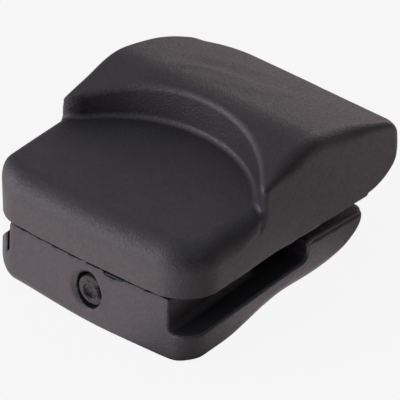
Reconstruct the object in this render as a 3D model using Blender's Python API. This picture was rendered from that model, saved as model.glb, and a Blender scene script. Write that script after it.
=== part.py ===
"""Small rubber violin mute that slides on the two middle strings behind the bridge.

The head is a solid damping block with a half-round finger recess. Under its front half sits
the carrier, whose core runs between the two strings, with an open string groove on each side.
Behind the core the carrier thins to a flexible web, and the clamp jaw hangs on that web: it
grips the strings against the underside of the head and bends down to let them in.

Sizes are in metres. Distances called "back" are measured from the front face towards the
rear nose, and "up" is measured from the lowest face of the carrier.
"""

import math

import bmesh
import bpy

# Overall block
BLOCK_WIDTH = 0.01325
HEAD_LENGTH = 0.0161
CARRIER_HEIGHT = 0.00348
FRONT_BOW = 0.00025
BOW_FADE_LENGTH = 0.003

# Head, heights measured from the seam plane under its front half
DECK_HEIGHT = 0.0028
CREST_HEIGHT = 0.005
CREST_BACK = 0.0094
CREST_ROUNDING = 0.001
REAR_SLOPE_AT_CREST = 0.225
REAR_SLOPE_CURVE = 18
FRONT_TOP_FILLET = 0.0015
FRONT_CORNER_RADIUS = 0.0018
REAR_LEFT_CORNER_RADIUS = 0.0039
REAR_RIGHT_CORNER_RADIUS = 0.0009
NOSE_TIP_HEIGHT = 0.0019
NOSE_UPPER_REACH = 0.0007
NOSE_LOWER_REACH = 0.00265
UNDERSIDE_DROP = 0.00032
DECK_EDGE_RADIUS = 0.00075
HUMP_EDGE_RADIUS = 0.00085
HEAD_LOWER_EDGE_RADIUS = 0.00012

# Deck and finger recess, cut into the head
FOOT_BACK = 0.00575
RECESS_CENTRE_BACK = 0.00124
RECESS_RADIUS = 0.00758
RECESS_WALL_DRAFT = 0.1
RECESS_FILLET = 0.00025
DECK_TRIM = 0.00002
FOOT_SHOULDER = 0.00008

# Carrier core and string grooves
CORE_WIDTH = 0.0104
CORE_LENGTH = 0.0065
CORE_CORNER_RADIUS = 0.0005
CORE_FILLET = 0.00035
GROOVE_HEIGHT_FRONT = 0.00187
GROOVE_HEIGHT_AT_WEB = 0.00168
SEAM_GAP = 0.0001

# Carrier underside and flexible web
CARRIER_LEFT_CORNER_RADIUS = 0.0016
CARRIER_RIGHT_CORNER_RADIUS = 0.0012
CARRIER_FRONT_LEAN = 0.00025
CARRIER_FRONT_LOWER_FILLET = 0.00025
SIDE_LOWER_RADIUS = 0.00065
UNDERSIDE_FLAT_END = 0.0022
WEB_BACK = 0.0072
WEB_THICKNESS = 0.00115
WEB_JOINT_GAP = 0.0003
PLATE_EDGE_RADIUS = 0.00012

# Clamp jaw, depths measured down from the seam plane
LIP_FRONT_BACK = 0.00885
LIP_DEPTH_FRONT = 0.00062
LIP_DEPTH_REAR = 0.00095
LIP_END_BACK = 0.0132
LIP_BELLY_BACK = 0.0094
LIP_BELLY_DEPTH = 0.00294
LIP_TIP_DEPTH = 0.0013
LIP_STEP_FILLET = 0.00045
LIP_CREST_RADIUS = 0.0002
LIP_REAR_RADIUS = 0.00033
LIP_CORNER_RADIUS = 0.0004

# Plug in the front hole
HOLE_DIAMETER = 0.0017
HOLE_DEPTH = 0.0042
HOLE_CENTRE_DOWN = 0.0016
HOLE_CENTRE_X = 0.00022
PLUG_FIT_GAP = 0.00012
PLUG_RECESS = 0.00022
PLUG_END_GAP = 0.0003
PLUG_DOME = 0.00022

# Mesh fineness
ARC_STEPS = 5
EDGE_STEPS = 3
COLUMNS = 7
ROUND_SIDES = 28


def clear_scene():
    for obj in list(bpy.data.objects):
        bpy.data.objects.remove(obj, do_unlink=True)


def make_material(name, colour, roughness):
    material = bpy.data.materials.new(name)
    material.use_nodes = True
    shader = material.node_tree.nodes["Principled BSDF"]
    shader.inputs["Base Color"].default_value = (*colour, 1.0)
    shader.inputs["Roughness"].default_value = roughness
    shader.inputs["Metallic"].default_value = 0.0
    return material


def to_world(x, back, up):
    """Row frame point: X across, +Y to the rear, the length centred on Y = 0."""
    forward_reach = CARRIER_FRONT_LEAN * (1 - CARRIER_FRONT_LOWER_FILLET / CARRIER_HEIGHT)
    centre = (HEAD_LENGTH - forward_reach) / 2
    return (x, back - centre, up)


def spaced(start, end, count):
    """count + 1 evenly spaced values from start to end."""
    return [start + (end - start) * i / count for i in range(count + 1)]


def arc_rise(distance, radius):
    """Height reached on a quarter round after the given distance from its steep end."""
    inside = max(0.0, min(distance, radius))
    return math.sqrt(radius**2 - (radius - inside) ** 2)


def quarter_stations(start, radius, steps=ARC_STEPS):
    """Stations that follow a quarter round which starts steep at start."""
    angles = spaced(0.0, math.pi / 2, steps)
    return [start + radius * (1 - math.cos(angle)) for angle in angles]


def front_shift(x, up, back, lean):
    """How far a point is drawn back by the bow of the front face, less its forward lean."""
    fade = max(0.0, 1 - back / BOW_FADE_LENGTH)
    bow = FRONT_BOW * (x / (BLOCK_WIDTH / 2)) ** 2
    forward = lean * (1 - up / CARRIER_HEIGHT)
    return (bow - forward) * fade


def section_points(left, right, bottom, top, bottom_radius, top_radius):
    """Rounded cross-section as (x, up) points, anticlockwise seen from the front."""
    room = 0.49 * (top - bottom)
    low = min(bottom_radius, room)
    high = min(top_radius, room)
    corners = [
        (left + low, bottom + low, low, math.pi),
        (right - low, bottom + low, low, 1.5 * math.pi),
        (right - high, top - high, high, 0.0),
        (left + high, top - high, high, 0.5 * math.pi),
    ]
    points = []
    for index, (x, up, radius, first) in enumerate(corners):
        for angle in spaced(first, first + math.pi / 2, EDGE_STEPS):
            points.append((x + radius * math.cos(angle), up + radius * math.sin(angle)))
        if index == 0:
            columns = spaced(left + low, right - low, COLUMNS + 1)[1:-1]
            points += [(x_column, bottom) for x_column in columns]
        if index == 2:
            columns = spaced(right - high, left + high, COLUMNS + 1)[1:-1]
            points += [(x_column, top) for x_column in columns]
    return points


def end_faces(ring):
    """Cap of one section: a quad for each column, and one face for each rounded side."""
    arc = EDGE_STEPS + 1
    row = COLUMNS + 2
    lower = ring[arc - 1 : arc - 1 + row]
    upper_start = 2 * arc + COLUMNS + arc - 1
    upper = ring[upper_start : upper_start + row][::-1]
    faces = [
        (lower[i], lower[i + 1], upper[i + 1], upper[i]) for i in range(row - 1)
    ]
    right = ring[arc + COLUMNS : upper_start + 1]
    left = ring[upper_start + row - 1 :] + ring[:arc]
    return faces + [tuple(right), tuple(left)]


def loft(name, sections, lean=0.0):
    """Closed solid through sections of (back, left, right, bottom, top, low and high radius)."""
    mesh_data = bmesh.new()
    rings = []
    for back, *outline in sections:
        ring = []
        for x, up in section_points(*outline):
            shifted = back + front_shift(x, up, back, lean)
            ring.append(mesh_data.verts.new(to_world(x, shifted, up)))
        rings.append(ring)
    count = len(rings[0])
    for near, far in zip(rings, rings[1:]):
        for i in range(count):
            j = (i + 1) % count
            mesh_data.faces.new((near[i], near[j], far[j], far[i]))
    for ring in (rings[0], rings[-1]):
        for corners in end_faces(ring):
            mesh_data.faces.new(corners)
    return finish_mesh(name, mesh_data)


def ring_stack(name, rings):
    """Closed solid from stacked rings of points with the same count, capped at both ends."""
    mesh_data = bmesh.new()
    rows = [[mesh_data.verts.new(to_world(*point)) for point in ring] for ring in rings]
    count = len(rows[0])
    for low, high in zip(rows, rows[1:]):
        for i in range(count):
            j = (i + 1) % count
            mesh_data.faces.new((low[i], low[j], high[j], high[i]))
    mesh_data.faces.new(rows[0])
    mesh_data.faces.new(rows[-1])
    return finish_mesh(name, mesh_data)


def finish_mesh(name, mesh_data):
    bmesh.ops.recalc_face_normals(mesh_data, faces=mesh_data.faces)
    mesh = bpy.data.meshes.new(name)
    mesh_data.to_mesh(mesh)
    mesh_data.free()
    obj = bpy.data.objects.new(name, mesh)
    bpy.context.collection.objects.link(obj)
    return obj


def cut(target, cutter):
    """Subtract cutter from target's mesh, so that shading can follow the cut edges."""
    modifier = target.modifiers.new("cut", "BOOLEAN")
    modifier.operation = "DIFFERENCE"
    modifier.solver = "EXACT"
    modifier.object = cutter
    graph = bpy.context.evaluated_depsgraph_get()
    target.data = bpy.data.meshes.new_from_object(target.evaluated_get(graph))
    target.modifiers.clear()
    bpy.data.objects.remove(cutter, do_unlink=True)


def shade(obj, material, angle_degrees=35):
    obj.data.materials.append(material)
    obj.data.shade_smooth()
    obj.data.set_sharp_from_angle(angle=math.radians(angle_degrees))


# Head


def corner_loss(distance, radius):
    """How far a rounded plan corner is drawn in at a distance from the end it rounds."""
    return radius - arc_rise(distance, radius)


def crest_height(back):
    """The front and rear slopes, joined over the crest by a parabola that touches both."""
    front_slope = (CREST_HEIGHT - DECK_HEIGHT) / (CREST_BACK - FRONT_TOP_FILLET)
    past = back - CREST_BACK
    if past < 0:
        height = CREST_HEIGHT + past * front_slope
    else:
        height = CREST_HEIGHT - past * REAR_SLOPE_AT_CREST - past**2 * REAR_SLOPE_CURVE
    overlap = max(0.0, CREST_ROUNDING - abs(past))
    return height - (front_slope + REAR_SLOPE_AT_CREST) * overlap**2 / (4 * CREST_ROUNDING)


def shoulder_share(back):
    """0 over the deck and 1 behind the foot faces, with a short ramp between."""
    start = FOOT_BACK - FOOT_SHOULDER
    return max(0.0, min(1.0, (back - start) / (0.8 * FOOT_SHOULDER)))


def edge_radius(back):
    """Radius of the upper side edges, which are a little fuller on the hump than on the deck."""
    return DECK_EDGE_RADIUS + (HUMP_EDGE_RADIUS - DECK_EDGE_RADIUS) * shoulder_share(back)


def head_top(back):
    """Top of the head above the seam plane, before the deck and the recess are cut."""
    deck = DECK_HEIGHT + DECK_TRIM
    if back < FRONT_TOP_FILLET:
        return deck - FRONT_TOP_FILLET + arc_rise(back, FRONT_TOP_FILLET)
    height = deck + (crest_height(back) - deck) * shoulder_share(back)
    left_over = HEAD_LENGTH - back
    if left_over >= NOSE_UPPER_REACH:
        return height
    share = arc_rise(left_over, NOSE_UPPER_REACH) / NOSE_UPPER_REACH
    return NOSE_TIP_HEIGHT + (height - NOSE_TIP_HEIGHT) * share


def head_bottom(back):
    """Underside: flat over the core, a slight fall towards the rear, then the round nose."""
    nose_start = HEAD_LENGTH - NOSE_LOWER_REACH
    if back <= CORE_LENGTH:
        return 0.0
    if back <= nose_start:
        return -UNDERSIDE_DROP * (back - CORE_LENGTH) / (nose_start - CORE_LENGTH)
    share = arc_rise(HEAD_LENGTH - back, NOSE_LOWER_REACH) / NOSE_LOWER_REACH
    return NOSE_TIP_HEIGHT - (NOSE_TIP_HEIGHT + UNDERSIDE_DROP) * share


def head_stations():
    """Distances back at which the head's cross-sections are taken."""
    nose = [
        HEAD_LENGTH - NOSE_LOWER_REACH * (1 - math.sin(angle))
        for angle in spaced(0.0, 0.97 * math.pi / 2, 3 * ARC_STEPS)
    ]
    crest = spaced(CREST_BACK - CREST_ROUNDING, CREST_BACK + CREST_ROUNDING, 2 * ARC_STEPS)
    front = quarter_stations(0.0, FRONT_CORNER_RADIUS, 2 * ARC_STEPS)
    shoulder = FOOT_BACK - FOOT_SHOULDER
    deck = spaced(FRONT_CORNER_RADIUS, shoulder, ARC_STEPS)[1:]
    ramp_end = FOOT_BACK - 0.2 * FOOT_SHOULDER
    front_slope = [ramp_end] + spaced(CORE_LENGTH, crest[0], ARC_STEPS)[:-1]
    rear_slope = spaced(crest[-1], nose[0], ARC_STEPS)[1:-1]
    return front + deck + front_slope + crest + rear_slope + nose


def build_head(material):
    half = BLOCK_WIDTH / 2
    sections = []
    for back in head_stations():
        from_rear = HEAD_LENGTH - back
        front_loss = corner_loss(back, FRONT_CORNER_RADIUS)
        left_loss = front_loss + corner_loss(from_rear, REAR_LEFT_CORNER_RADIUS)
        right_loss = front_loss + corner_loss(from_rear, REAR_RIGHT_CORNER_RADIUS)
        sections.append(
            (
                back,
                left_loss - half,
                half - right_loss,
                CARRIER_HEIGHT + head_bottom(back),
                CARRIER_HEIGHT + head_top(back),
                HEAD_LOWER_EDGE_RADIUS,
                edge_radius(back),
            )
        )
    head = loft("mute_head", sections)
    cut(head, build_deck_cutter())
    shade(head, material)
    return head


def deck_outline(offset, up):
    """Plan of the deck cut: the open front, the two foot faces and the recess arc."""
    radius = RECESS_RADIUS + offset
    foot = FOOT_BACK + offset
    start = math.asin((foot - RECESS_CENTRE_BACK) / radius)
    side = BLOCK_WIDTH
    points = [(side, -BLOCK_WIDTH / 2, up), (side, foot, up)]
    for angle in spaced(start, math.pi - start, 8 * ARC_STEPS):
        points.append(
            (
                radius * math.cos(angle),
                RECESS_CENTRE_BACK + radius * math.sin(angle),
                up,
            )
        )
    return points + [(-side, foot, up), (-side, -BLOCK_WIDTH / 2, up)]


def build_deck_cutter():
    floor = CARRIER_HEIGHT + DECK_HEIGHT
    rings = []
    for angle in spaced(0.0, math.pi / 2, EDGE_STEPS):
        offset = RECESS_FILLET * (math.sin(angle) - 1)
        rings.append(deck_outline(offset, floor + RECESS_FILLET * (1 - math.cos(angle))))
    clear_height = CREST_HEIGHT
    draft = RECESS_WALL_DRAFT * (clear_height - RECESS_FILLET)
    rings.append(deck_outline(draft, floor + clear_height))
    return ring_stack("deck_cutter", rings)


# Carrier


def groove_floor(back):
    """Height of the string groove floor, which rises slightly towards the web."""
    share = back / WEB_BACK
    depth = GROOVE_HEIGHT_FRONT + (GROOVE_HEIGHT_AT_WEB - GROOVE_HEIGHT_FRONT) * share
    return CARRIER_HEIGHT - depth


def web_underside():
    return groove_floor(WEB_BACK) - WEB_THICKNESS


def carrier_bottom(back):
    """Underside: a flat foot, then a smooth rise to the thin web."""
    if back < CARRIER_FRONT_LOWER_FILLET:
        return CARRIER_FRONT_LOWER_FILLET - arc_rise(back, CARRIER_FRONT_LOWER_FILLET)
    if back < UNDERSIDE_FLAT_END:
        return 0.0
    share = (back - UNDERSIDE_FLAT_END) / (WEB_BACK - UNDERSIDE_FLAT_END)
    return web_underside() * 0.5 * (1 - math.cos(math.pi * min(share, 1.0)))


def carrier_stations(end):
    front = quarter_stations(0.0, CARRIER_FRONT_LOWER_FILLET, EDGE_STEPS)
    corner = quarter_stations(0.0, CARRIER_LEFT_CORNER_RADIUS)
    rise = spaced(UNDERSIDE_FLAT_END, end, 2 * ARC_STEPS)
    return sorted(set(front + corner[1:] + rise))


def build_carrier(material):
    end = WEB_BACK - WEB_JOINT_GAP / 2
    top = CARRIER_HEIGHT - SEAM_GAP
    sections = []
    for back in carrier_stations(end):
        sections.append(
            (
                back,
                corner_loss(back, CARRIER_LEFT_CORNER_RADIUS) - BLOCK_WIDTH / 2,
                BLOCK_WIDTH / 2 - corner_loss(back, CARRIER_RIGHT_CORNER_RADIUS),
                carrier_bottom(back),
                top,
                SIDE_LOWER_RADIUS,
                PLATE_EDGE_RADIUS,
            )
        )
    carrier = loft("string_carrier", sections, CARRIER_FRONT_LEAN)
    cut(carrier, build_groove_cutter())
    cut(carrier, build_hole_cutter())
    shade(carrier, material)
    return carrier


def core_outline(offset, up_above_floor, level):
    """U-shaped plan around the core; its inner side keeps offset from the core's walls."""
    half = CORE_WIDTH / 2 + offset
    rear = CORE_LENGTH + offset
    round_off = CORE_CORNER_RADIUS + offset
    outer = BLOCK_WIDTH
    front = -CORE_LENGTH
    inner = [(half, front)]
    for angle in spaced(0.0, math.pi / 2, EDGE_STEPS):
        x = half - round_off + round_off * math.cos(angle)
        inner.append((x, rear - round_off + round_off * math.sin(angle)))
    inner += [(-x, back) for x, back in reversed(inner)]
    plan = inner + [(-outer, front), (-outer, HEAD_LENGTH), (outer, HEAD_LENGTH), (outer, front)]
    points = []
    for x, back in plan:
        up = level if level is not None else groove_floor(back) + up_above_floor
        points.append((x, back, up))
    return points


def build_groove_cutter():
    rings = []
    for angle in spaced(0.0, math.pi / 2, EDGE_STEPS):
        offset = CORE_FILLET * (1 - math.sin(angle))
        rings.append(core_outline(offset, CORE_FILLET * (1 - math.cos(angle)), None))
    rings.append(core_outline(0.0, 0.0, CARRIER_HEIGHT + CORE_FILLET))
    return ring_stack("groove_cutter", rings)


def circle(radius, back, centre_up):
    angles = spaced(0.0, 2 * math.pi, ROUND_SIDES)[:-1]
    return [
        (HOLE_CENTRE_X + radius * math.cos(angle), back, centre_up + radius * math.sin(angle))
        for angle in angles
    ]


def hole_centre_up():
    return CARRIER_HEIGHT - HOLE_CENTRE_DOWN


def build_hole_cutter():
    radius = HOLE_DIAMETER / 2
    rings = [circle(radius, back, hole_centre_up()) for back in (-HOLE_DEPTH, HOLE_DEPTH)]
    return ring_stack("hole_cutter", rings)


def build_plug(material):
    """Round plug with a low domed end, set back from the mouth of the hole."""
    radius = HOLE_DIAMETER / 2 - PLUG_FIT_GAP
    mouth = front_shift(HOLE_CENTRE_X, hole_centre_up(), 0.0, CARRIER_FRONT_LEAN)
    rings = []
    for angle in spaced(0.15 * math.pi, math.pi / 2, EDGE_STEPS):
        back = mouth + PLUG_RECESS + PLUG_DOME * (1 - math.cos(angle))
        rings.append(circle(radius * math.sin(angle), back, hole_centre_up()))
    rings.append(circle(radius, HOLE_DEPTH - PLUG_END_GAP, hole_centre_up()))
    plug = ring_stack("front_plug", rings)
    shade(plug, material)
    return plug


# Clamp jaw


def lip_top_line(back):
    """Straight gripping face of the lip, falling slightly towards its rear end."""
    share = (back - LIP_FRONT_BACK) / (LIP_END_BACK - LIP_FRONT_BACK)
    return CARRIER_HEIGHT - LIP_DEPTH_FRONT - (LIP_DEPTH_REAR - LIP_DEPTH_FRONT) * share


def jaw_top(back):
    """Web top, the rounded step up to the lip, the gripping face and the rear round."""
    floor = groove_floor(WEB_BACK)
    if back <= LIP_FRONT_BACK - LIP_STEP_FILLET:
        return floor
    if back < LIP_FRONT_BACK:
        run = LIP_FRONT_BACK - back
        return floor + LIP_STEP_FILLET - arc_rise(run, LIP_STEP_FILLET)
    top = lip_top_line(back)
    front_loss = LIP_CREST_RADIUS - arc_rise(back - LIP_FRONT_BACK, LIP_CREST_RADIUS)
    rear_loss = LIP_REAR_RADIUS - arc_rise(LIP_END_BACK - back, LIP_REAR_RADIUS)
    return top - front_loss - rear_loss


def jaw_bottom(back):
    """Web underside, a low belly, and an elliptical rise to the tip."""
    belly = CARRIER_HEIGHT - LIP_BELLY_DEPTH
    if back < LIP_BELLY_BACK:
        share = (back - WEB_BACK) / (LIP_BELLY_BACK - WEB_BACK)
        ease = 0.5 * (1 - math.cos(math.pi * max(0.0, share)))
        return web_underside() + (belly - web_underside()) * ease
    run = (back - LIP_BELLY_BACK) / (LIP_END_BACK - LIP_BELLY_BACK)
    rise = LIP_BELLY_DEPTH - LIP_TIP_DEPTH
    return belly + rise * (1 - math.sqrt(max(0.0, 1 - run**2)))


def jaw_stations(start):
    step = LIP_FRONT_BACK - LIP_STEP_FILLET
    angles = spaced(0.0, math.pi / 2, EDGE_STEPS)
    fillet = [step + LIP_STEP_FILLET * math.sin(angle) for angle in angles]
    crest = quarter_stations(LIP_FRONT_BACK, LIP_CREST_RADIUS, EDGE_STEPS)
    end_angle = 0.97 * math.pi / 2
    reach = LIP_END_BACK - LIP_BELLY_BACK
    tail = [
        LIP_BELLY_BACK + reach * math.sin(angle)
        for angle in spaced(0.0, end_angle, 2 * ARC_STEPS)
    ]
    return sorted(set(spaced(start, step, ARC_STEPS)[:-1] + fillet + crest[1:] + tail))


def build_jaw(material):
    start = WEB_BACK + WEB_JOINT_GAP / 2
    sections = []
    for back in jaw_stations(start):
        half = BLOCK_WIDTH / 2 - corner_loss(LIP_END_BACK - back, LIP_CORNER_RADIUS)
        sections.append(
            (
                back,
                -half,
                half,
                jaw_bottom(back),
                jaw_top(back),
                SIDE_LOWER_RADIUS,
                PLATE_EDGE_RADIUS,
            )
        )
    jaw = loft("clamp_jaw", sections)
    shade(jaw, material)
    return jaw


def hang_on_axis(obj):
    """Parent the jaw to an empty that lies on the bending line of the web."""
    axis = bpy.data.objects.new("jaw_axis", None)
    bpy.context.collection.objects.link(axis)
    axis.location = to_world(0.0, WEB_BACK, groove_floor(WEB_BACK) - WEB_THICKNESS / 2)
    obj.parent = axis
    obj.location = [-value for value in axis.location]


def main():
    clear_scene()
    rubber = make_material("charcoal_rubber", (0.075, 0.07, 0.075), 0.55)
    plug_rubber = make_material("plug_rubber", (0.05, 0.05, 0.048), 0.65)
    build_head(rubber)
    build_carrier(rubber)
    hang_on_axis(build_jaw(rubber))
    build_plug(plug_rubber)


main()
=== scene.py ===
"""Looks of the small rubber violin mute: smooth moulded skins over the CAD frame.

Each skin is the zero surface of a field that is negative inside the rubber. Fields are built
from plain faces joined with fillets of a stated radius, and meshed on a fine grid.

Field coordinates are millimetres: x to the right, back from the middle of the front face
towards the nose, and up from the seam plane between the head and the carrier. Constants in
pairs are the start and end of a fade, unless their comment says otherwise. Azimuths are
degrees from the front towards the right, and elevations are degrees above the horizon.
"""

import math

import bpy
import numpy as np
from mathutils import Matrix, Vector


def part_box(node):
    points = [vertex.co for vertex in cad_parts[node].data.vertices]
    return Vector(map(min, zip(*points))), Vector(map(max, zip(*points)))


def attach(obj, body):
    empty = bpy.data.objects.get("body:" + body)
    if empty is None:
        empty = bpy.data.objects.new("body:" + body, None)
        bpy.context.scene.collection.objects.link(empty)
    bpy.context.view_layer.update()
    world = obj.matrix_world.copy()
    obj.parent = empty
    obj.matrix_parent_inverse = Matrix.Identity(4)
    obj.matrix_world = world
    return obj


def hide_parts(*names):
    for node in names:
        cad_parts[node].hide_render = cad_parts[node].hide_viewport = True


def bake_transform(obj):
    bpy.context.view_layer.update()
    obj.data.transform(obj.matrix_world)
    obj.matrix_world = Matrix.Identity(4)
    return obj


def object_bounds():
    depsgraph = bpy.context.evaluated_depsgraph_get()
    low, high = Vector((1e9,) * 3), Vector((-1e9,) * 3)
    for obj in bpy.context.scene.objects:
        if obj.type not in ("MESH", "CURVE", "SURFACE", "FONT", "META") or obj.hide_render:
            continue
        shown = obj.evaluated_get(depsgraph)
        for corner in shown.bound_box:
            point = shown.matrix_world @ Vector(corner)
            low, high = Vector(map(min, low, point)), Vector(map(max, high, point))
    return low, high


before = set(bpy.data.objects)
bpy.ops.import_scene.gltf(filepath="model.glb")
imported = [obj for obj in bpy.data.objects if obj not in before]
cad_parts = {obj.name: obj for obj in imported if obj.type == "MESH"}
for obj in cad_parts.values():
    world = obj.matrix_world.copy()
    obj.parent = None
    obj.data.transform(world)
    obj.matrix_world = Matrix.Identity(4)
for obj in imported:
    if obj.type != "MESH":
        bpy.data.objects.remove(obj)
cad_low, cad_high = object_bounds()

MM = 0.001

# Frame
SEAM_GAP = 0.1
HEAD_LOW, HEAD_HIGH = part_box("mute_head")
CARRIER_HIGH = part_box("string_carrier")[1]
JAW_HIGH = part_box("clamp_jaw")[1]
FRONT_Y = HEAD_LOW.y
SEAM_Z = CARRIER_HIGH.z + SEAM_GAP * MM
HALF_WIDTH = (HEAD_HIGH.x - HEAD_LOW.x) / 2 / MM
HEAD_LENGTH = (HEAD_HIGH.y - HEAD_LOW.y) / MM
HEAD_TOP = (HEAD_HIGH.z - SEAM_Z) / MM
CARRIER_HEIGHT = SEAM_Z / MM
LIP_END = (JAW_HIGH.y - FRONT_Y) / MM

# Head
DECK_HEIGHT = 2.8
CREST_BACK = 9.4
CREST_HEIGHT = 5.0
CREST_ROUNDING = 1.0
FRONT_SLOPE_START = 1.5
REAR_SLOPE = 0.225
REAR_SLOPE_CURVE = 0.018
FRONT_TILT = 0.28
REAR_TILT = REAR_SLOPE + 0.1
OVER_DECK_RISE = 1.5
OVER_DECK_MARGIN = 0.4
FRONT_TOP_FILLET = 1.5
FRONT_LEFT_CORNER_RADIUS = 1.8
FRONT_RIGHT_CORNER_RADIUS = 2.3
REAR_LEFT_CORNER_RADIUS = 3.9
REAR_RIGHT_CORNER_RADIUS = 0.7
DECK_LEFT_RADIUS = 0.6
DECK_RIGHT_RADIUS = 1.4
DECK_FOOT_RADIUS = 0.8
HUMP_LEFT_RADIUS = 0.5
HUMP_RIGHT_RADIUS = 0.9
HUMP_REAR_RADIUS = 0.4
HUMP_REAR_FADE = (11.5, 15.5)
FOOT_EDGE_RADIUS = 0.3
FOOT_EDGE_REACH = 2.5
DECK_FOOT_START = 3.5
REAR_CORNER_FADE = (-0.8, 0.3)
LEFT_SAG = 0.15
SEAM_EDGE_RADIUS = 0.04
NOSE_SIDE_RADIUS = 0.25
FRONT_BOW = 0.25
BOW_FADE = 3.0
NOSE_TIP_HEIGHT = 1.9
NOSE_LOWER_REACH = 2.65
NOSE_UPPER_RADIUS = 0.8
UNDERSIDE_DROP = 0.32

# Crease in the rear slope: a point (x, back), then its way as a unit vector
CREASE_START = (-3.9, 10.5)
CREASE_WAY = (0.87, 0.49)
CREASE_HEIGHT = 0.08
CREASE_BEND = 0.35
CREASE_BEND_RATE = 0.9
CREASE_FADE_IN = (-0.5, 1.5)
CREASE_FADE_OUT = (6.0, 9.5)
CREASE_STEP = 0.3
CREASE_WIDTH = 1.1
RIPPLE_SHARE = 0.25
RIPPLE_RATE_ACROSS = 4.2
RIPPLE_RATE_ALONG = 0.7
RIPPLE_WIDTH = 1.6

# Waviness of all faces: height, lengths of the waves, share and shift of the small ones
WAVINESS = 0.012
BROAD_WAVE = 2.4
SMALL_WAVE = 0.7
SMALL_WAVE_SHARE = 0.4
SMALL_WAVE_SHIFT = 3.1

# Finger recess
FOOT_BACK = 5.75
RECESS_CENTRE_BACK = 1.24
RECESS_RADIUS = 7.58
RECESS_DRAFT = 0.1
RECESS_FLOOR_FILLET = 0.27
LEFT_HORN_RADIUS = 0.5
RIGHT_HORN_RADIUS = 0.3
RECESS_RIM_RADIUS = 0.3
RIM_WALL_FADE = (-0.5, -0.1)
RIM_HEIGHT_FADE = (1.7, 2.1)
RIM_LEFT_LOSS = 0.75
RIM_LEFT_FADE = (HALF_WIDTH - 1.0, HALF_WIDTH - 0.3)

# Carrier and jaw
CORE_HALF_WIDTH = 5.2
CORE_LEFT_EDGE = 5.28
CORE_LENGTH = 6.5
CORE_CORNER_RADIUS = 0.5
CORE_FILLET = 0.35
GROOVE_DEPTH_FRONT = 1.87
GROOVE_DEPTH_AT_WEB = 1.68
WEB_BACK = 7.2
WEB_THICKNESS = 1.15
WEB_TILT = 0.35
WEB_TILT_FADE_IN = (3.0, 4.5)
WEB_TILT_FADE_OUT = (5.5, 7.0)
FOOT_FLAT_END = 2.2
LEFT_CORNER_RADIUS = 1.78
RIGHT_CORNER_RADIUS = 1.2
FRONT_LEAN = 0.25
FRONT_LOWER_RADIUS = 0.3
FRONT_LEFT_LOWER_RADIUS = 0.75
FRONT_LEFT_FADE = (-0.5, 5.0)
FRONT_CORNER_FADE = (-0.3, 1.5)
SIDE_LOWER_RADIUS = 0.65
LEFT_LOWER_RADIUS = 1.1
PLATE_EDGE_RADIUS = 0.14
LIP_FRONT_BACK = 8.85
LIP_DEPTH_FRONT = 0.62
LIP_DEPTH_REAR = 0.95
LIP_STEP_FILLET = 0.45
LIP_CREST_RADIUS = 0.2
LIP_STRIP = 0.24
LIP_STRIP_SOFTNESS = 0.07
LIP_INSET = 0.09
LIP_INSET_REACH = 0.5
LIP_TIP_DEPTH = 1.3
BELLY_BACK = 9.4
BELLY_DEPTH = 2.94
TAIL_CORNER_RADIUS = 0.5
TAIL_CORNER_REACH = 2.5

# Flap of flash in the left groove
FLAP_EDGE = 5.43
FLAP_TOP = 0.72
FLAP_BACK = 0.9
FLAP_RADIUS = 0.05

# Seam; its waves are height, rate and phase
SEAM_LEAST = 0.02
SEAM_WAVES = ((0.02, 5.3, 0.0), (0.012, 11.7, 1.0))
SEAM_BREAK = -0.14
SEAM_BREAK_WIDTH = 0.09
SEAM_BREAK_BACK = 0.5
SEAM_RIGHT_LOSS = 0.55
SEAM_RIGHT_FADE = (3.2, 5.0)
EDGE_LIFT = 0.07

# Pocket in the seam and the sliver of flash in it
FLASH_START = 1.0
FLASH_END = 2.35
FLASH_POCKET = 0.2
FLASH_POCKET_FADE = (0.45, 0.6)
FLASH_DEPTH = 0.17
FLASH_THICKNESS = 0.06
FLASH_LEAST_SHARE = 0.1
FLASH_BACK = 1.0

# Ragged edge of the core: height, then the fades up, across and back
CORE_RAGGED = 0.03
CORE_RAGGED_UP = (-GROOVE_DEPTH_FRONT, -GROOVE_DEPTH_FRONT + 0.4)
CORE_RAGGED_ACROSS = (CORE_HALF_WIDTH - 0.3, CORE_HALF_WIDTH - 0.1)
CORE_RAGGED_BACK = (0.3, 0.6)
RAGGED_WAVE = 0.45

# Hole and plug
HOLE_X = 0.22
HOLE_DEPTH_DOWN = 1.6
HOLE_RADIUS = 0.85
HOLE_SQUEEZE = 1.06
HOLE_STRETCH = 0.94
HOLE_LENGTH = 4.2
HOLE_MOUTH_RADIUS = 0.04
MOUTH_RAGGED = 0.04
MOUTH_RAGGED_WIDTH = 0.2
MOUTH_RAGGED_BACK = 0.6
DISH_DEPTH = 0.26
DISH_LEFT = 0.12
DISH_UP = 0.04
DISH_FADE = (0.7, 1.25)
DISH_RIGHT_FADE = (-0.2, 0.7)
DISH_BACK = 0.5
PLUG_CLEARANCE = 0.04
PLUG_RECESS = 0.12
PLUG_LENGTH = 3.4
PLUG_EDGE_RADIUS = 0.08
PLUG_RELIEF_ROOM = 0.2
PLUG_RING_HEIGHT = 0.1
PLUG_RING_RADIUS = 0.5
PLUG_RING_WIDTH = 0.12
PLUG_CENTRE_DEPTH = 0.08
PLUG_CENTRE_RADIUS = 0.4
NOTCH_DEPTH = 0.5
NOTCH_RIGHT = 0.6
NOTCH_UP = 0.15
NOTCH_HALF_WIDTH = 0.22
NOTCH_HALF_HEIGHT = 0.33

# Tears in the plug's end: height and length of each size, then where they end
PLUG_TEARS = ((0.1, 0.45), (0.05, 0.2))
PLUG_TEAR_BACK = (-0.8, -0.5)
PLUG_TEAR_FADE = (0.45, 0.65)

# Field values away from every face, and a guard against a zero
FAR_INSIDE = -2.0
FAR_OUTSIDE = 1.0
TINY = 1e-6

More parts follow.
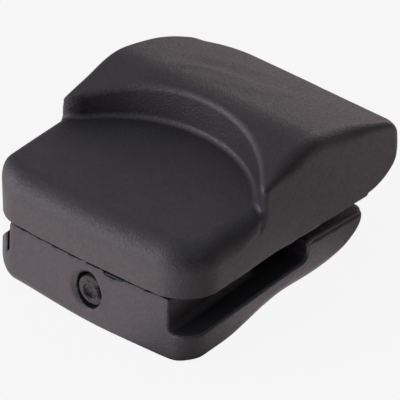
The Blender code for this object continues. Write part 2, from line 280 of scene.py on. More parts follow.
# Mesh
GRID_CELL = 0.085
PLUG_CELL = 0.05
RELIEF_REACH = 0.3
SETTLE_STEP = 0.02
SETTLE_ROUNDS = 5
SETTLE_LEAST_SLOPE = 0.05
NORMAL_STEP = 0.012

# Noise
SEED = 7
LATTICE_SIZE = 16
LATTICE_SHIFT = 0.37


# Noise


LATTICE = np.random.RandomState(SEED).uniform(-1.0, 1.0, (LATTICE_SIZE,) * 3)


def smooth_noise(x, y, z, wavelength):
    """Smooth value noise between -1 and 1, with features about a wavelength across."""
    position = [np.asarray(value, float) / wavelength + LATTICE_SHIFT for value in (x, y, z)]
    base = [np.floor(value).astype(int) for value in position]
    share = [value - low for value, low in zip(position, base)]
    ease = [value * value * (3 - 2 * value) for value in share]
    total = 0.0
    for i in (0, 1):
        for j in (0, 1):
            for k in (0, 1):
                weight = (
                    (ease[0] if i else 1 - ease[0])
                    * (ease[1] if j else 1 - ease[1])
                    * (ease[2] if k else 1 - ease[2])
                )
                corner = LATTICE[
                    (base[0] + i) % LATTICE_SIZE,
                    (base[1] + j) % LATTICE_SIZE,
                    (base[2] + k) % LATTICE_SIZE,
                ]
                total = total + weight * corner
    return total


# Fields


def ramp(value, start, end):
    """Smooth step from 0 at start to 1 at end."""
    share = np.clip((value - start) / (end - start), 0.0, 1.0)
    return share * share * (3 - 2 * share)


def meet(a, b, radius):
    """Where both fields are inside, with a convex fillet along their edge."""
    return np.minimum(np.maximum(a, b), -radius) + np.hypot(
        np.maximum(a + radius, 0.0), np.maximum(b + radius, 0.0)
    )


def join(a, b, radius):
    """Where either field is inside, with a concave fillet along their corner."""
    return -meet(-a, -b, radius)


def ellipse(back, up, centre_back, centre_up, reach, drop):
    """Distance to an ellipse, close to true near its edge."""
    p = (back - centre_back) / reach
    q = (up - centre_up) / drop
    size = np.sqrt(p * p + q * q) + 1e-9
    slope = np.hypot(p / reach, q / drop) / size
    return (size - 1.0) / np.maximum(slope, TINY)


def hump_height(back):
    """Height of the hump's profile: a straight front slope, a round crest, a curved rear."""
    front_slope = (CREST_HEIGHT - DECK_HEIGHT) / (CREST_BACK - FRONT_SLOPE_START)
    past = back - CREST_BACK
    rear = REAR_SLOPE * past + REAR_SLOPE_CURVE * past**2
    height = CREST_HEIGHT + np.where(past < 0, past * front_slope, -rear)
    overlap = np.maximum(CREST_ROUNDING - np.abs(past), 0.0)
    return height - (front_slope + REAR_SLOPE) * overlap**2 / (4 * CREST_ROUNDING)


def rear_crease(x, back):
    """Soft slanting fold that the moulding left in the rear slope."""
    along = (x - CREASE_START[0]) * CREASE_WAY[0] + (back - CREASE_START[1]) * CREASE_WAY[1]
    across = (x - CREASE_START[0]) * CREASE_WAY[1] - (back - CREASE_START[1]) * CREASE_WAY[0]
    across = across + CREASE_BEND * np.sin(along * CREASE_BEND_RATE)
    share = ramp(along, *CREASE_FADE_IN) * (1 - ramp(along, *CREASE_FADE_OUT))
    fold = np.tanh(across / CREASE_STEP) * np.exp(-((across / CREASE_WIDTH) ** 2))
    ripple = RIPPLE_SHARE * np.sin(across * RIPPLE_RATE_ACROSS + along * RIPPLE_RATE_ALONG)
    ripple = ripple * np.exp(-((across / RIPPLE_WIDTH) ** 2))
    return CREASE_HEIGHT * share * (fold + ripple)


def hump_field(x, back, up):
    """Top of the hump, kept high over the deck, where the deck cut takes it off."""
    over_deck = np.maximum(FOOT_BACK - OVER_DECK_MARGIN - back, 0.0)
    height = hump_height(back) + OVER_DECK_RISE * over_deck
    height = height - LEFT_SAG * (np.minimum(x, 0.0) / HALF_WIDTH) ** 2 + rear_crease(x, back)
    tilt = np.where(back < CREST_BACK, FRONT_TILT, REAR_TILT)
    return (up - height) / np.sqrt(1 + tilt**2)


def front_field(x, back, up, lean=0.0):
    """Bowed front face, with the carrier's lean towards its foot."""
    fade = np.clip(1 - back / BOW_FADE, 0.0, 1.0)
    bow = FRONT_BOW * (x / HALF_WIDTH) ** 2
    return (bow - lean * np.maximum(-up, 0.0) / CARRIER_HEIGHT) * fade - back


def nose_field(back, up):
    """Ellipse that rounds the rear from the tip down to the underside."""
    start = HEAD_LENGTH - NOSE_LOWER_REACH
    low = ellipse(
        back, up, start, NOSE_TIP_HEIGHT, NOSE_LOWER_REACH, NOSE_TIP_HEIGHT + UNDERSIDE_DROP
    )
    below = (back > start) & (up < NOSE_TIP_HEIGHT)
    return np.where(below, low, -NOSE_LOWER_REACH)


def underside_field(back, up):
    """Flat over the core and falling slightly behind it."""
    start = HEAD_LENGTH - NOSE_LOWER_REACH
    share = np.clip((back - CORE_LENGTH) / (start - CORE_LENGTH), 0.0, 1.0)
    return -UNDERSIDE_DROP * share - up


def recess_wall(x, back, up):
    """Negative in front of the foot faces and inside the recess arc."""
    lean = RECESS_DRAFT * (up - DECK_HEIGHT)
    arc = np.hypot(x, back - RECESS_CENTRE_BACK) - RECESS_RADIUS - lean
    horn = np.where(x < 0, LEFT_HORN_RADIUS, RIGHT_HORN_RADIUS)
    return join(arc, back - FOOT_BACK - lean, horn)


def unevenness(x, back, up):
    """Slight waviness of moulded rubber faces."""
    broad = smooth_noise(x, back, up, BROAD_WAVE)
    small = smooth_noise(x + SMALL_WAVE_SHIFT, back, up, SMALL_WAVE)
    return WAVINESS * (broad + SMALL_WAVE_SHARE * small)


def blended(first, second, share):
    """Go from the first value to the second as the share goes from 0 to 1."""
    return first + (second - first) * share


def head_field(x, back, up):
    """Damping head: a hump behind a lower deck, with the finger recess cut between them."""
    side = np.abs(x) - HALF_WIDTH
    front = front_field(x, back, up)
    corner = np.where(x < 0, FRONT_LEFT_CORNER_RADIUS, FRONT_RIGHT_CORNER_RADIUS)
    wall = meet(side, front, corner)
    rear_radius = np.where(x < 0, REAR_LEFT_CORNER_RADIUS, REAR_RIGHT_CORNER_RADIUS)
    wall = meet(wall, back - HEAD_LENGTH, rear_radius)
    foot_share = ramp(back, FOOT_BACK + FOOT_EDGE_REACH, FOOT_BACK)
    rear_share = ramp(back - HEAD_LENGTH - side, *REAR_CORNER_FADE)
    edge = np.where(x < 0, HUMP_LEFT_RADIUS, HUMP_RIGHT_RADIUS)
    edge = blended(edge, HUMP_REAR_RADIUS, ramp(back, *HUMP_REAR_FADE))
    hump_radius = blended(edge, FOOT_EDGE_RADIUS, foot_share)
    hump_radius = blended(hump_radius, NOSE_UPPER_RADIUS, rear_share)
    hump = meet(wall, hump_field(x, back, up), hump_radius)
    front_share = ramp(front - side, -FRONT_TOP_FILLET, FRONT_TOP_FILLET)
    foot_share = ramp(back, DECK_FOOT_START, FOOT_BACK)
    right = blended(DECK_RIGHT_RADIUS, DECK_FOOT_RADIUS, foot_share)
    edge = np.where(x < 0, DECK_LEFT_RADIUS, right)
    deck_radius = blended(edge, FRONT_TOP_FILLET, front_share)
    deck = meet(wall, up - DECK_HEIGHT, deck_radius)
    recess = recess_wall(x, back, up)
    cut = meet(recess, -deck, RECESS_FLOOR_FILLET)
    rim = RECESS_RIM_RADIUS * ramp(recess, *RIM_WALL_FADE) * ramp(up, *RIM_HEIGHT_FADE)
    rim = rim * (1 - RIM_LEFT_LOSS * ramp(-x, *RIM_LEFT_FADE)) + TINY
    body = meet(hump, -cut, rim)
    body = meet(body, nose_field(back, up), NOSE_SIDE_RADIUS)
    return meet(body, underside_field(back, up), SEAM_EDGE_RADIUS)


def groove_depth(back):
    """Depth of the string grooves, which get shallower towards the web."""
    return blended(GROOVE_DEPTH_FRONT, GROOVE_DEPTH_AT_WEB, back / WEB_BACK)


def lip_depth(back):
    """Depth of the lip's crest, which falls towards its tip."""
    share = (back - LIP_FRONT_BACK) / (LIP_END - LIP_FRONT_BACK)
    return blended(LIP_DEPTH_FRONT, LIP_DEPTH_REAR, share)


def clamp_bottom(back):
    """Underside of carrier and jaw: flat foot, thin web, low belly."""
    web_under = -GROOVE_DEPTH_AT_WEB - WEB_THICKNESS
    share = np.clip((back - FOOT_FLAT_END) / (WEB_BACK - FOOT_FLAT_END), 0.0, 1.0)
    front = -CARRIER_HEIGHT + (web_under + CARRIER_HEIGHT) * 0.5 * (1 - np.cos(math.pi * share))
    share = np.clip((back - WEB_BACK) / (BELLY_BACK - WEB_BACK), 0.0, 1.0)
    belly = web_under - (BELLY_DEPTH + web_under) * 0.5 * (1 - np.cos(math.pi * share))
    return np.where(back < WEB_BACK, front, belly)


def tail_field(back, up):
    """Rear end of the jaw: an ellipse from the belly to the tip, upright above it."""
    reach = LIP_END - BELLY_BACK
    low = ellipse(back, up, BELLY_BACK, -LIP_TIP_DEPTH, reach, BELLY_DEPTH - LIP_TIP_DEPTH)
    low = np.where(back > BELLY_BACK, low, -reach)
    return np.where(up > -LIP_TIP_DEPTH, back - LIP_END, low)


def seam_gap(x, back):
    """Uneven gap under the head, nearly closed at one spot and narrower on the right."""
    wander = sum(height * np.sin(rate * x + phase) for height, rate, phase in SEAM_WAVES)
    closed = np.exp(-(((x - SEAM_BREAK) / SEAM_BREAK_WIDTH) ** 2)) * (back < SEAM_BREAK_BACK)
    fade = 1 - SEAM_RIGHT_LOSS * ramp(x, *SEAM_RIGHT_FADE)
    pocket = FLASH_POCKET * flash_share(x) * (1 - ramp(back, *FLASH_POCKET_FADE))
    return SEAM_LEAST + (SEAM_GAP - SEAM_LEAST + wander) * fade * (1 - closed) + pocket


def flash_share(x):
    """Lens shape of the pocket in the seam that holds a sliver of flash."""
    share = np.clip((x - FLASH_START) / (FLASH_END - FLASH_START), 0.0, 1.0)
    return np.sqrt(4 * share * (1 - share))


def flash_sliver(x, back, up):
    """Thin sliver of flash in the pocket, level and lens-shaped from the front."""
    share = flash_share(x)
    sliver = np.abs(up + FLASH_DEPTH) - FLASH_THICKNESS * share
    sliver = np.where(share > FLASH_LEAST_SHARE, sliver, FAR_OUTSIDE)
    return np.maximum(sliver, back - FLASH_BACK)


def left_flap(x, back, up):
    """Thin flap of flash that nearly closes the left groove at the front."""
    out = -x - FLAP_EDGE
    flap = meet(-out, up + FLAP_TOP + out, FLAP_RADIUS)
    return meet(flap, back - FLAP_BACK, FLAP_RADIUS)


def clamp_field(x, back, up, lift=0.0):
    """String carrier, web and jaw in one. The lift raises the core's top for its normals."""
    side = np.abs(x) - HALF_WIDTH
    strip_line = -lip_depth(back) - LIP_STRIP
    on_lip = ramp(back, LIP_FRONT_BACK, LIP_FRONT_BACK + LIP_INSET_REACH)
    on_strip = ramp(up, strip_line - LIP_STRIP_SOFTNESS, strip_line + LIP_STRIP_SOFTNESS)
    side = side + LIP_INSET * on_lip * on_strip
    plate_top = up + groove_depth(np.minimum(back, WEB_BACK))
    core_side = np.where(x < 0, -x - CORE_LEFT_EDGE, x - CORE_HALF_WIDTH)
    core = meet(core_side, back - CORE_LENGTH, CORE_CORNER_RADIUS)
    core = meet(core, up + seam_gap(x, back) - lift, SEAM_EDGE_RADIUS)
    lip = meet(up + lip_depth(back), LIP_FRONT_BACK - back, LIP_CREST_RADIUS)
    top = join(plate_top, core, CORE_FILLET)
    top = join(top, lip, LIP_STEP_FILLET)
    top = np.minimum(top, left_flap(x, back, up))
    top = np.minimum(top, flash_sliver(x, back, up))
    corner = np.where(x < 0, LEFT_CORNER_RADIUS, RIGHT_CORNER_RADIUS)
    front = front_field(x, back, up, FRONT_LEAN)
    wall = meet(side, front, corner)
    side_radius = np.where(x < 0, LEFT_LOWER_RADIUS, SIDE_LOWER_RADIUS)
    tail_share = ramp(back, BELLY_BACK, BELLY_BACK + TAIL_CORNER_REACH)
    tail_radius = blended(side_radius, TAIL_CORNER_RADIUS, tail_share)
    wall = meet(wall, tail_field(back, up), tail_radius)
    body = meet(wall, top, PLATE_EDGE_RADIUS)
    tilt = WEB_TILT * ramp(back, *WEB_TILT_FADE_IN) * (1 - ramp(back, *WEB_TILT_FADE_OUT))
    under = (clamp_bottom(back) - up) / np.sqrt(1 + tilt**2)
    under = np.where(back < BELLY_BACK, under, FAR_INSIDE)
    left_share = ramp(-x, *FRONT_LEFT_FADE)
    front_radius = blended(FRONT_LOWER_RADIUS, FRONT_LEFT_LOWER_RADIUS, left_share)
    low_radius = blended(side_radius, front_radius, ramp(front - side, *FRONT_CORNER_FADE))
    body = meet(body, under, low_radius)
    across, along = (x - HOLE_X) * HOLE_SQUEEZE, (up + HOLE_DEPTH_DOWN) * HOLE_STRETCH
    hole = np.hypot(across, along) - HOLE_RADIUS
    hole = np.maximum(hole, back - HOLE_LENGTH)
    return meet(body, -hole, HOLE_MOUTH_RADIUS)


def clamp_relief(x, back, up):
    """Waviness, the dish beside the hole and the ragged edges of hole, core and seam."""
    dish = np.hypot(x - HOLE_X + DISH_LEFT, up + HOLE_DEPTH_DOWN - DISH_UP)
    dent = DISH_DEPTH * (1 - ramp(dish, *DISH_FADE)) * (1 - ramp(x - HOLE_X, *DISH_RIGHT_FADE))
    dent = dent * np.exp(-((back / DISH_BACK) ** 2))
    ragged = smooth_noise(x, back, up, RAGGED_WAVE)
    mouth = np.hypot(x - HOLE_X, up + HOLE_DEPTH_DOWN) - HOLE_RADIUS
    edge = np.exp(-((mouth / MOUTH_RAGGED_WIDTH) ** 2)) * (back < MOUTH_RAGGED_BACK)
    core_edge = ramp(up, *CORE_RAGGED_UP) * ramp(np.abs(x), *CORE_RAGGED_ACROSS)
    core_edge = core_edge * (1 - ramp(back, *CORE_RAGGED_BACK))
    ragged = ragged * (CORE_RAGGED * core_edge - MOUTH_RAGGED * edge)
    return unevenness(x, back, up) + dent + ragged


def plug_field(x, back, up):
    """Round plug with a raised ring, a sunk centre and a notch in its end."""
    across = np.hypot(x - HOLE_X, up + HOLE_DEPTH_DOWN)
    radius = HOLE_RADIUS - PLUG_CLEARANCE
    ring = np.exp(-(((across - PLUG_RING_RADIUS) / PLUG_RING_WIDTH) ** 2))
    sunk = -PLUG_RING_HEIGHT * ring + PLUG_CENTRE_DEPTH * (across < PLUG_CENTRE_RADIUS)
    notch = np.hypot(
        (x - HOLE_X - NOTCH_RIGHT) / NOTCH_HALF_WIDTH,
        (up + HOLE_DEPTH_DOWN - NOTCH_UP) / NOTCH_HALF_HEIGHT,
    )
    sunk = sunk + NOTCH_DEPTH * np.exp(-(notch**4))
    mouth = -FRONT_LEAN * HOLE_DEPTH_DOWN / CARRIER_HEIGHT
    end = mouth + PLUG_RECESS + sunk - back
    body = meet(across - radius, end, PLUG_EDGE_RADIUS)
    return np.maximum(body, back - PLUG_RECESS - PLUG_LENGTH)


def plug_relief(x, back, up):
    """Torn surface in the middle of the plug's end."""
    across = np.hypot(x - HOLE_X, up + HOLE_DEPTH_DOWN)
    torn = sum(height * smooth_noise(x, back, up, length) for height, length in PLUG_TEARS)
    return torn * ramp(-back, *PLUG_TEAR_BACK) * (1 - ramp(across, *PLUG_TEAR_FADE))


# Meshing


def field_change(points, field, step):
    """Change of the field along each axis, from a step behind to a step ahead."""
    change = np.empty_like(points)
    for axis in range(3):
        ahead, behind = points.copy(), points.copy()
        ahead[:, axis] += step
        behind[:, axis] -= step
        change[:, axis] = field(*ahead.T) - field(*behind.T)
    return change


def settle(points, field, cell):
    """Move points onto the zero surface along the field's slope."""
    for _ in range(SETTLE_ROUNDS):
        value = field(*points.T)
        slope = field_change(points, field, SETTLE_STEP) / (2 * SETTLE_STEP)
        steep = np.maximum(np.sum(slope**2, axis=1), SETTLE_LEAST_SLOPE)
        move = -(value / steep)[:, None] * slope
        length = np.linalg.norm(move, axis=1)
        limit = np.minimum(1.0, 0.5 * cell / np.maximum(length, 1e-9))
        points = points + move * limit[:, None]
    return points


def outward(points, field):
    """Unit slope of the field, which is the way out of the rubber."""
    slope = field_change(points, field, NORMAL_STEP)
    return slope / np.maximum(np.linalg.norm(slope, axis=1), 1e-12)[:, None]


def surface_cells(value):
    """Grid cells that the surface crosses, and one point in each, in grid units."""
    inside = value < 0
    counts = np.zeros(tuple(n - 1 for n in value.shape), int)
    for i in (0, 1):
        for j in (0, 1):
            for k in (0, 1):
                counts += inside[
                    i : inside.shape[0] - 1 + i,
                    j : inside.shape[1] - 1 + j,
                    k : inside.shape[2] - 1 + k,
                ]
    crossed = (counts > 0) & (counts < 8)
    cells = np.argwhere(crossed)
    total = np.zeros((len(cells), 3))
    hits = np.zeros(len(cells))
    for axis in range(3):
        for first in (0, 1):
            for second in (0, 1):
                start = np.zeros(3, int)
                start[(axis + 1) % 3] = first
                start[(axis + 2) % 3] = second
                end = start.copy()
                end[axis] = 1
                a = value[tuple((cells + start).T)]
                b = value[tuple((cells + end).T)]
                cross = (a < 0) != (b < 0)
                share = np.where(cross, a / np.where(cross, a - b, 1.0), 0.0)
                total += (start + np.outer(share, end - start)) * cross[:, None]
                hits += cross
    return inside, crossed, cells, cells + total / hits[:, None]


def surface_faces(inside, crossed, cells):
    """One quad round each grid edge that the surface crosses, facing outwards."""
    index = np.full(crossed.shape, -1)
    index[tuple(cells.T)] = np.arange(len(cells))
    faces = []
    for axis in range(3):
        u, v = (axis + 1) % 3, (axis + 2) % 3
        near = np.take(inside, range(inside.shape[axis] - 1), axis)
        far = np.take(inside, range(1, inside.shape[axis]), axis)
        spots = np.argwhere(near != far)
        leaving = near[tuple(spots.T)]
        corners = []
        for du, dv in ((1, 1), (0, 1), (0, 0), (1, 0)):
            corner = spots.copy()
            corner[:, u] -= du
            corner[:, v] -= dv
            corners.append(index[tuple(corner.T)])
        quads = np.stack(corners, axis=1)
        quads[~leaving] = quads[~leaving][:, ::-1]
        faces.append(quads)
    return np.concatenate(faces)


def make_skin(name, shape, relief, low, high, cell, material, lift=None):
    """Mesh a shape with its fine relief inside a box given in field coordinates.

    With a lift the normals come from the lifted shape. That keeps a thin light line off the
    edge under the seam.
    """

    def field(*place):
        return shape(*place) + relief(*place)

    def lifted(*place):
        return shape(*place, lift) + relief(*place)

    axes = [np.arange(low[k] - 2 * cell, high[k] + 3 * cell, cell) for k in range(3)]
    grid = np.meshgrid(*axes, indexing="ij")
    value = shape(*grid)
    near = np.abs(value) < RELIEF_REACH
    value[near] += relief(*(axis[near] for axis in grid))
    inside, crossed, cells, spots = surface_cells(value)
    faces = surface_faces(inside, crossed, cells)
    origin = np.array([axis[0] for axis in axes])
    places = settle(origin + spots * cell, field, cell)
    normals = outward(places, lifted if lift else field)
    shift = np.array([0.0, FRONT_Y / MM, SEAM_Z / MM])
    mesh = bpy.data.meshes.new(name)
    mesh.from_pydata(((places + shift) * MM).tolist(), [], faces.tolist())
    mesh.shade_smooth()
    mesh.normals_split_custom_set_from_vertices(normals.tolist())
    mesh.materials.append(material)
    obj = bpy.data.objects.new(name, mesh)
    bpy.context.collection.objects.link(obj)
    return obj


# Materials

# Noises: scale, detail and roughness, then the range that holds most of their values
CLOUD = (550.0, 4.0, 0.6)
MOTTLE = (5500.0, 3.0, 0.65)
PITS = (11000.0, 2.0, 0.5)
NOISE_MIDDLE = (0.3, 0.7)

# Parts of each noise in the colour
CLOUD_SHARE = 0.55
MOTTLE_SHARE = 0.45

RUBBER_IOR = 1.65
RUBBER_SPECULAR = 0.89

# Bumps: strength and height
COARSE_BUMP = (0.3, 0.00005)
FINE_BUMP = (0.9, 0.00002)

# Rubbers: dark and light colour, roughness of each, and the strength of the grain
BODY_RUBBER = ((0.015, 0.0146, 0.0161), (0.047, 0.0452, 0.0494), 0.54, 0.42, 1.0)
PLUG_RUBBER = ((0.02, 0.02, 0.019), (0.05, 0.05, 0.046), 0.75, 0.5, 2.0)


def add_node(tree, kind, **values):
    node = tree.nodes.new(kind)
    for key, value in values.items():
        setattr(node, key, value)
    return node


def combine(tree, operation, first, second):
    node = add_node(tree, "ShaderNodeMath", operation=operation)
    tree.links.new(first, node.inputs[0])
    if isinstance(second, float):
        node.inputs[1].default_value = second
    else:
        tree.links.new(second, node.inputs[1])
    return node.outputs["Value"]


def noise_at(tree, coordinates, scale, detail, roughness):
    node = add_node(tree, "ShaderNodeTexNoise")
    node.inputs["Scale"].default_value = scale
    node.inputs["Detail"].default_value = detail
    node.inputs["Roughness"].default_value = roughness
    tree.links.new(coordinates, node.inputs["Vector"])
    return node.outputs["Fac"]


def spread(tree, source, low, high):
    """Map the middle of a noise to the range low to high."""
    node = add_node(tree, "ShaderNodeMapRange")
    node.inputs["From Min"].default_value = NOISE_MIDDLE[0]
    node.inputs["From Max"].default_value = NOISE_MIDDLE[1]
    node.inputs["To Min"].default_value = low
    node.inputs["To Max"].default_value = high
    tree.links.new(source, node.inputs["Value"])
    return node.outputs["Result"]


def mix_colours(tree, share, low, high):
    node = add_node(tree, "ShaderNodeMix", data_type="RGBA")
    node.inputs["A"].default_value = (*low, 1.0)
    node.inputs["B"].default_value = (*high, 1.0)
    tree.links.new(share, node.inputs["Factor"])
    return node.outputs["Result"]


def bump(tree, source, strength, distance, under=None):
    """Bump from a noise, laid over the normal of another bump where one is given."""
    node = add_node(tree, "ShaderNodeBump")
    node.inputs["Strength"].default_value = strength
    node.inputs["Distance"].default_value = distance
    tree.links.new(source, node.inputs["Height"])
    if under is not None:
        tree.links.new(under, node.inputs["Normal"])
    return node.outputs["Normal"]


def rubber_material(name, dark, light, rough_dark, rough_light, grain):
    """Moulded rubber: fine pitted grain, cloudy bloom and an uneven soft sheen."""
    material = bpy.data.materials.new(name)
    material.use_nodes = True
    tree = material.node_tree
    shader = tree.nodes["Principled BSDF"]
    coordinates = add_node(tree, "ShaderNodeTexCoord").outputs["Object"]
    cloud = noise_at(tree, coordinates, *CLOUD)
    mottle = noise_at(tree, coordinates, *MOTTLE)
    pits = noise_at(tree, coordinates, *PITS)
    bloom = spread(tree, cloud, 0.0, CLOUD_SHARE)
    share = combine(tree, "ADD", bloom, spread(tree, mottle, 0.0, MOTTLE_SHARE))
    tree.links.new(mix_colours(tree, share, dark, light), shader.inputs["Base Color"])
    rough = spread(tree, mottle, rough_dark, rough_light)
    tree.links.new(rough, shader.inputs["Roughness"])
    shader.inputs["Specular IOR Level"].default_value = RUBBER_SPECULAR
    shader.inputs["IOR"].default_value = RUBBER_IOR
    coarse = bump(tree, mottle, COARSE_BUMP[0] * grain, COARSE_BUMP[1])
    fine = bump(tree, pits, FINE_BUMP[0] * grain, FINE_BUMP[1], coarse)
    tree.links.new(fine, shader.inputs["Normal"])
    return material


# Pieces


def dress_part():
    """Skins for all nodes. Carrier and jaw share one, joined at the web."""
    rubber = rubber_material("charcoal_rubber_skin", *BODY_RUBBER)
    plug_rubber = rubber_material("plug_rubber_skin", *PLUG_RUBBER)
    head = make_skin(
        "head_skin",
        head_field,
        unevenness,
        (-HALF_WIDTH, 0.0, -UNDERSIDE_DROP),
        (HALF_WIDTH, HEAD_LENGTH, HEAD_TOP),
        GRID_CELL,
        rubber,
    )
    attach(head, "mute_body")
    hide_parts("mute_head")
    clamp = make_skin(
        "clamp_skin",
        clamp_field,
        clamp_relief,
        (-HALF_WIDTH, -FRONT_LEAN, -CARRIER_HEIGHT),
        (HALF_WIDTH, LIP_END, -SEAM_GAP),
        GRID_CELL,
        rubber,
        lift=EDGE_LIFT,
    )
    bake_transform(clamp)
    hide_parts("string_carrier", "clamp_jaw")
    radius = HOLE_RADIUS - PLUG_CLEARANCE
    plug = make_skin(
        "plug_skin",
        plug_field,
        plug_relief,
        (HOLE_X - radius, -PLUG_RELIEF_ROOM, -HOLE_DEPTH_DOWN - radius),
        (HOLE_X + radius, PLUG_RECESS + PLUG_LENGTH, radius - HOLE_DEPTH_DOWN),
        PLUG_CELL,
        plug_rubber,
    )
    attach(plug, "mute_body")
    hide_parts("front_plug")


# Stage

# Camera; the aim's right and up are shifts in the picture plane
CAMERA_AZIMUTH = 41.92
CAMERA_ELEVATION = 35.04
CAMERA_ROLL = -1.41
CAMERA_DISTANCE = 0.611
CLIP_START = 0.01
CLIP_END = 20.0
FOCAL_PIXELS = 12418.0
PHOTO_PIXELS = 400
SENSOR_WIDTH = 36.0
AIM = Vector((0.0, 0.00014, 0.00408))
AIM_RIGHT = 0.000244
AIM_UP = -0.001022

# Floor; a shine is azimuth, elevation, start and end of its fade, and level at each
# The shines are painted reflection: they set how much glow the floor shows in mirror rays,
# which lightens or darkens what the part mirrors.
FLOOR_REACH = 0.25
FLOOR_GAP = 0.00002
FLOOR_COLOUR = (0.92, 0.8, 0.78)
FLOOR_ROUGHNESS = 0.9
CAMERA_WHITE = 0.9
MIRROR_COLOUR = (1.0, 0.88, 0.92)
FRONT_SHINE = (-15.0, 0.0, 0.003, 0.0095, 0.29, 1.0)
CORNER_DIP = (42.0, 0.0, 0.85, 0.99, 0.0, 0.7)
RIGHT_SHINE = (83.0, 0.0, 0.7, 0.9, 0.0, 0.8)
RIGHT_CLOSE = (90.0, 0.0, 0.0102, 0.0082, -0.3, 1.0)

# World; a glow is azimuth, elevation, strength and colour
WORLD_BASE = (0.02, 0.019, 0.02)
GLOW_FADE = (0.3, 0.95)
WORLD_GLOWS = (
    (0.0, 90.0, 0.21, (0.96, 0.95, 1.06)),
    (-48.0, 5.0, 0.374, (1.0, 0.93, 1.05)),
    (-138.0, 5.0, 0.15, (1.0, 0.92, 0.95)),
)

# Lamps: name, azimuth, elevation, power and colour
LAMP_DISTANCE = 0.5
LAMP_SIZE = 0.35
LAMPS = (
    ("low_left", -50.0, 12.0, 0.5, (1.0, 0.92, 1.03)),
    ("low_front", -12.0, 12.0, 0.17, (1.0, 0.93, 1.03)),
    ("low_rear", -165.0, 14.0, 0.33, (1.0, 0.86, 0.86)),
)


def direction(azimuth, elevation):
    """Unit vector from the part at an azimuth and elevation."""
    a, e = math.radians(azimuth), math.radians(elevation)
    return Vector((math.sin(a) * math.cos(e), -math.cos(a) * math.cos(e), math.sin(e)))


def add_camera():
    """Camera at the photograph's view, slightly rolled, with a long lens."""
    back = direction(CAMERA_AZIMUTH, CAMERA_ELEVATION)
    a, r = math.radians(CAMERA_AZIMUTH), math.radians(CAMERA_ROLL)
    level = Vector((math.cos(a), math.sin(a), 0.0))
    upright = back.cross(level)
    right = level * math.cos(r) + upright * math.sin(r)
    up = upright * math.cos(r) - level * math.sin(r)
    data = bpy.data.cameras.new("photo_camera")
    data.sensor_width = SENSOR_WIDTH
    data.lens = FOCAL_PIXELS * SENSOR_WIDTH / PHOTO_PIXELS
    data.clip_start = CLIP_START
    data.clip_end = CLIP_END
    camera = bpy.data.objects.new("photo_camera", data)
    place = AIM + back * CAMERA_DISTANCE + right * AIM_RIGHT + up * AIM_UP
    axes = Matrix((right, up, back)).transposed()
    camera.matrix_world = Matrix.Translation(place) @ axes.to_4x4()
    bpy.context.collection.objects.link(camera)
    bpy.context.scene.camera = camera
    bpy.context.scene.view_settings.view_transform = "Standard"


def toward(tree, vector, azimuth, elevation, start, end, low, high):
    """Level that rises from low to high where a vector turns towards a direction."""
    along = add_node(tree, "ShaderNodeVectorMath", operation="DOT_PRODUCT")
    tree.links.new(vector, along.inputs[0])
    along.inputs[1].default_value = direction(azimuth, elevation)
    level = add_node(tree, "ShaderNodeMapRange", interpolation_type="SMOOTHSTEP")
    level.inputs["From Min"].default_value = start
    level.inputs["From Max"].default_value = end
    level.inputs["To Min"].default_value = low
    level.inputs["To Max"].default_value = high
    tree.links.new(along.outputs["Value"], level.inputs["Value"])
    return level.outputs["Result"]


def floor_shine(tree):
    """Painted reflection: the share of white glow in mirror rays, by place on the floor.

    It is largest in front and close by on the right. It dips towards the front right corner
    and farther out on the right.
    """
    place = add_node(tree, "ShaderNodeTexCoord").outputs["Object"]
    flat = add_node(tree, "ShaderNodeVectorMath", operation="NORMALIZE")
    tree.links.new(place, flat.inputs[0])
    flat = flat.outputs["Vector"]
    share = toward(tree, place, *FRONT_SHINE)
    share = combine(tree, "SUBTRACT", share, toward(tree, flat, *CORNER_DIP))
    right = toward(tree, flat, *RIGHT_SHINE)
    right = combine(tree, "MULTIPLY", right, toward(tree, place, *RIGHT_CLOSE))
    return combine(tree, "ADD", share, right)


def lay_over(tree, shader, share, colour):
    """Lay a plain glow of strength 1 over a share of a shader."""
    glow = add_node(tree, "ShaderNodeEmission")
    glow.inputs["Color"].default_value = (*colour, 1.0)
    mix = add_node(tree, "ShaderNodeMixShader")
    tree.links.new(share, mix.inputs["Fac"])
    tree.links.new(shader, mix.inputs[1])
    tree.links.new(glow.outputs["Emission"], mix.inputs[2])
    return mix.outputs["Shader"]


def whiten(tree, shader):
    """White for the camera, and a warm share of it in mirror rays, which is painted reflection.
    """
    rays = add_node(tree, "ShaderNodeLightPath").outputs
    mirror = combine(tree, "MAXIMUM", rays["Is Glossy Ray"], rays["Is Transmission Ray"])
    mirror = combine(tree, "MULTIPLY", mirror, floor_shine(tree))
    shader = lay_over(tree, shader, mirror, MIRROR_COLOUR)
    camera = combine(tree, "MULTIPLY", rays["Is Camera Ray"], CAMERA_WHITE)
    return lay_over(tree, shader, camera, (1.0, 1.0, 1.0))


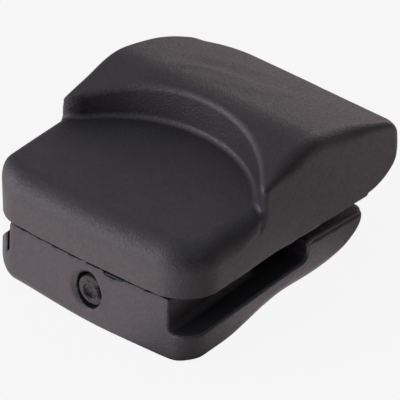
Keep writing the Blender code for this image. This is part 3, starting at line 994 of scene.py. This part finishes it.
def add_floor():
    """Pale floor just under the part, white for the camera."""
    mesh = bpy.data.meshes.new("floor")
    corners = [(-1, -1), (1, -1), (1, 1), (-1, 1)]
    spots = [(FLOOR_REACH * x, FLOOR_REACH * y, 0.0) for x, y in corners]
    mesh.from_pydata(spots, [], [(0, 1, 2, 3)])
    floor = bpy.data.objects.new("floor", mesh)
    floor.location.z = cad_low.z - FLOOR_GAP
    material = bpy.data.materials.new("floor_white")
    material.use_nodes = True
    tree = material.node_tree
    shader = tree.nodes["Principled BSDF"]
    shader.inputs["Base Color"].default_value = (*FLOOR_COLOUR, 1.0)
    shader.inputs["Roughness"].default_value = FLOOR_ROUGHNESS
    shader.inputs["Specular IOR Level"].default_value = 0.0
    output = tree.nodes["Material Output"]
    tree.links.new(whiten(tree, shader.outputs["BSDF"]), output.inputs["Surface"])
    mesh.materials.append(material)
    bpy.context.collection.objects.link(floor)


def add_world():
    """Dim studio with soft glows from above and from the left."""
    world = bpy.data.worlds.new("studio")
    bpy.context.scene.world = world
    world.use_nodes = True
    tree = world.node_tree
    background = tree.nodes["Background"]
    background.inputs["Color"].default_value = (*WORLD_BASE, 1.0)
    way = add_node(tree, "ShaderNodeTexCoord").outputs["Generated"]
    light = background.outputs["Background"]
    for azimuth, elevation, strength, colour in WORLD_GLOWS:
        level = toward(tree, way, azimuth, elevation, *GLOW_FADE, 0.0, strength)
        glow = add_node(tree, "ShaderNodeBackground")
        glow.inputs["Color"].default_value = (*colour, 1.0)
        tree.links.new(level, glow.inputs["Strength"])
        total = add_node(tree, "ShaderNodeAddShader")
        tree.links.new(light, total.inputs[0])
        tree.links.new(glow.outputs["Background"], total.inputs[1])
        light = total.outputs["Shader"]
    tree.links.new(light, tree.nodes["World Output"].inputs["Surface"])


def add_lamp(name, azimuth, elevation, power, colour):
    """Round area lamp that points at the part."""
    away = direction(azimuth, elevation)
    data = bpy.data.lights.new(name, "AREA")
    data.shape = "DISK"
    data.size = LAMP_SIZE
    data.energy = power
    data.color = colour
    lamp = bpy.data.objects.new(name, data)
    turn = away.to_track_quat("Z", "Y").to_matrix().to_4x4()
    lamp.matrix_world = Matrix.Translation(AIM + away * LAMP_DISTANCE) @ turn
    bpy.context.collection.objects.link(lamp)


dress_part()
add_camera()
add_floor()
add_world()
for lamp_row in LAMPS:
    add_lamp(*lamp_row)
